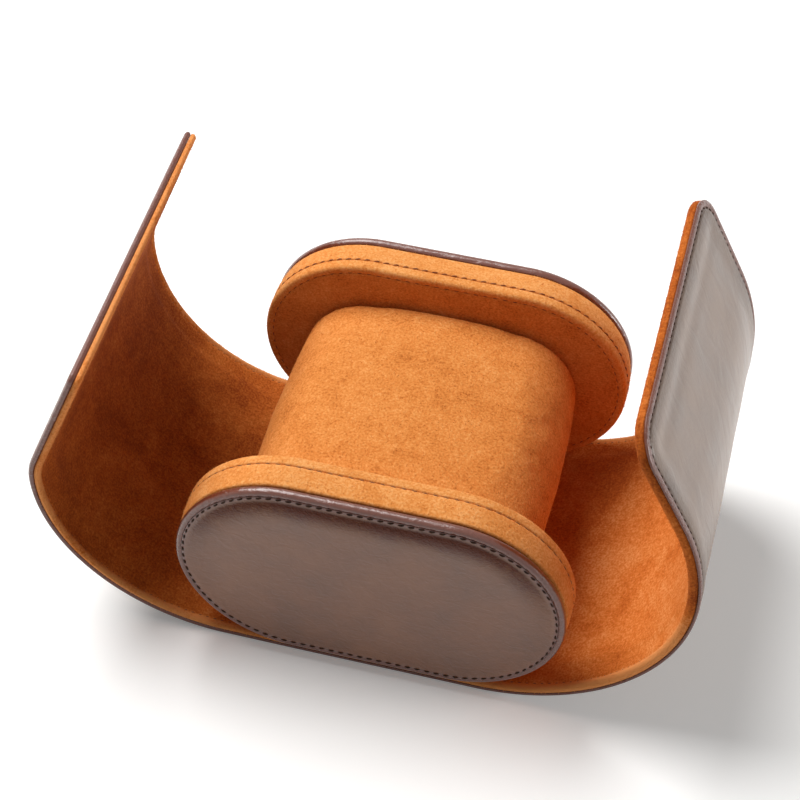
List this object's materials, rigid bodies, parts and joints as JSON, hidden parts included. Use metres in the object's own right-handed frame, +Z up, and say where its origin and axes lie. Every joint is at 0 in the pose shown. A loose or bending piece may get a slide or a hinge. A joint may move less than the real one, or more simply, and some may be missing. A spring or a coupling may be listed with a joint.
{
  "type": "watch travel case",
  "caption": "Wrap-round watch travel case: a lined leather strip with curling flaps round two upright end discs and a removable pillow that the watch is buckled on.",
  "frame": {"origin": "centre of the strip's flat underside, midway between the end discs and under their middle", "axes": "+X along the discs' long axis and the strip, towards the outer flap; +Y along the pillow; +Z up"},
  "size_m": [0.1677, 0.088, 0.1039],
  "materials": {
    "cover_leather": "smooth full-grain, semi-matt, soft wrinkles",
    "disc_leather": "smooth full-grain, semi-matt",
    "piping_leather": "rolled edge, polished",
    "suede": "brushed nap, matt",
    "stiffener_board": "grey board",
    "pillow_foam": "open-cell foam",
    "keeper_steel": "plain",
    "magnet_metal": "plated"
  },
  "bodies": {
    "base": {"base_cover": "cover_leather", "base_board": "stiffener_board", "base_lining": "suede", "front_disc_leather_face": "disc_leather", "front_disc_piping": "piping_leather", "front_disc_core": "stiffener_board", "front_disc_rim_band": "suede", "front_disc_inner_face": "suede", "back_disc_leather_face": "disc_leather", "back_disc_piping": "piping_leather", "back_disc_core": "stiffener_board", "back_disc_rim_band": "suede", "back_disc_inner_face": "suede"},
    "inner_flap_1": {"inner_flap_cover_1": "cover_leather", "inner_flap_board_1": "stiffener_board", "inner_flap_lining_1": "suede"},
    "inner_flap_2": {"inner_flap_cover_2": "cover_leather", "inner_flap_board_2": "stiffener_board", "inner_flap_lining_2": "suede"},
    "inner_flap_3": {"inner_flap_cover_3": "cover_leather", "inner_flap_board_3": "stiffener_board", "inner_flap_lining_3": "suede"},
    "inner_flap_4": {"inner_flap_cover_4": "cover_leather", "inner_flap_board_4": "stiffener_board", "inner_flap_lining_4": "suede"},
    "inner_flap_5": {"inner_flap_cover_5": "cover_leather", "inner_flap_board_5": "stiffener_board", "inner_flap_lining_5": "suede", "inner_flap_keepers": "keeper_steel"},
    "outer_flap_1": {"outer_flap_cover_1": "cover_leather", "outer_flap_board_1": "stiffener_board", "outer_flap_lining_1": "suede"},
    "outer_flap_2": {"outer_flap_cover_2": "cover_leather", "outer_flap_board_2": "stiffener_board", "outer_flap_lining_2": "suede"},
    "outer_flap_3": {"outer_flap_cover_3": "cover_leather", "outer_flap_board_3": "stiffener_board", "outer_flap_lining_3": "suede"},
    "outer_flap_4": {"outer_flap_cover_4": "cover_leather", "outer_flap_board_4": "stiffener_board", "outer_flap_lining_4": "suede"},
    "outer_flap_5": {"outer_flap_cover_5": "cover_leather", "outer_flap_board_5": "stiffener_board", "outer_flap_lining_5": "suede", "outer_flap_magnets": "magnet_metal"},
    "pillow": {"pillow_foam": "pillow_foam", "pillow_cover_band": "suede", "pillow_cover_front": "suede", "pillow_cover_back": "suede"}
  },
  "joints": [
    {"name": "inner_base_fold", "type": "hinge", "parent": "base", "child": "inner_flap_1", "pos_m": [-0.033, 0, 0.0035], "axis": [0, -1, 0], "range_deg": [-39, 0]},
    {"name": "inner_curl_1", "type": "hinge", "parent": "inner_flap_1", "child": "inner_flap_2", "pos_m": [-0.05066, 0, 0.00142], "axis": [0, -1, 0], "range_deg": [-7.8, 27.82]},
    {"name": "inner_curl_2", "type": "hinge", "parent": "inner_flap_2", "child": "inner_flap_3", "pos_m": [-0.07129, 0, 0.01231], "axis": [0, -1, 0], "range_deg": [-7.8, 27.82]},
    {"name": "inner_curl_3", "type": "hinge", "parent": "inner_flap_3", "child": "inner_flap_4", "pos_m": [-0.08445, 0, 0.03157], "axis": [0, -1, 0], "range_deg": [-7.8, 27.82]},
    {"name": "inner_curl_4", "type": "hinge", "parent": "inner_flap_4", "child": "inner_flap_5", "pos_m": [-0.08733, 0, 0.0512], "axis": [0, -1, 0], "range_deg": [-7.8, 27.82]},
    {"name": "outer_base_fold", "type": "hinge", "parent": "base", "child": "outer_flap_1", "pos_m": [0.026, 0, 0.0035], "axis": [0, 1, 0], "range_deg": [-17, 0]},
    {"name": "outer_curl_1", "type": "hinge", "parent": "outer_flap_1", "child": "outer_flap_2", "pos_m": [0.04114, 0, 0.00168], "axis": [0, 1, 0], "range_deg": [-11.8, 29.15]},
    {"name": "outer_curl_2", "type": "hinge", "parent": "outer_flap_2", "child": "outer_flap_3", "pos_m": [0.06408, 0, 0.01448], "axis": [0, 1, 0], "range_deg": [-11.8, 29.15]},
    {"name": "outer_curl_3", "type": "hinge", "parent": "outer_flap_3", "child": "outer_flap_4", "pos_m": [0.07789, 0, 0.03683], "axis": [0, 1, 0], "range_deg": [-11.8, 29.15]},
    {"name": "outer_curl_4", "type": "hinge", "parent": "outer_flap_4", "child": "outer_flap_5", "pos_m": [0.07891, 0, 0.06441], "axis": [0, 1, 0], "range_deg": [-11.8, 29.15]},
    {"name": "pillow_lift", "type": "slide", "parent": "base", "child": "pillow", "axis": [0, 0, 1], "range_m": [0, 0.06]}
  ],
  "couplings": [
    {"joint": "inner_curl_2", "follows": "inner_curl_1", "ratio": 1},
    {"joint": "inner_curl_3", "follows": "inner_curl_1", "ratio": 1},
    {"joint": "inner_curl_4", "follows": "inner_curl_1", "ratio": 1},
    {"joint": "outer_curl_2", "follows": "outer_curl_1", "ratio": 1},
    {"joint": "outer_curl_3", "follows": "outer_curl_1", "ratio": 1},
    {"joint": "outer_curl_4", "follows": "outer_curl_1", "ratio": 1}
  ]
}
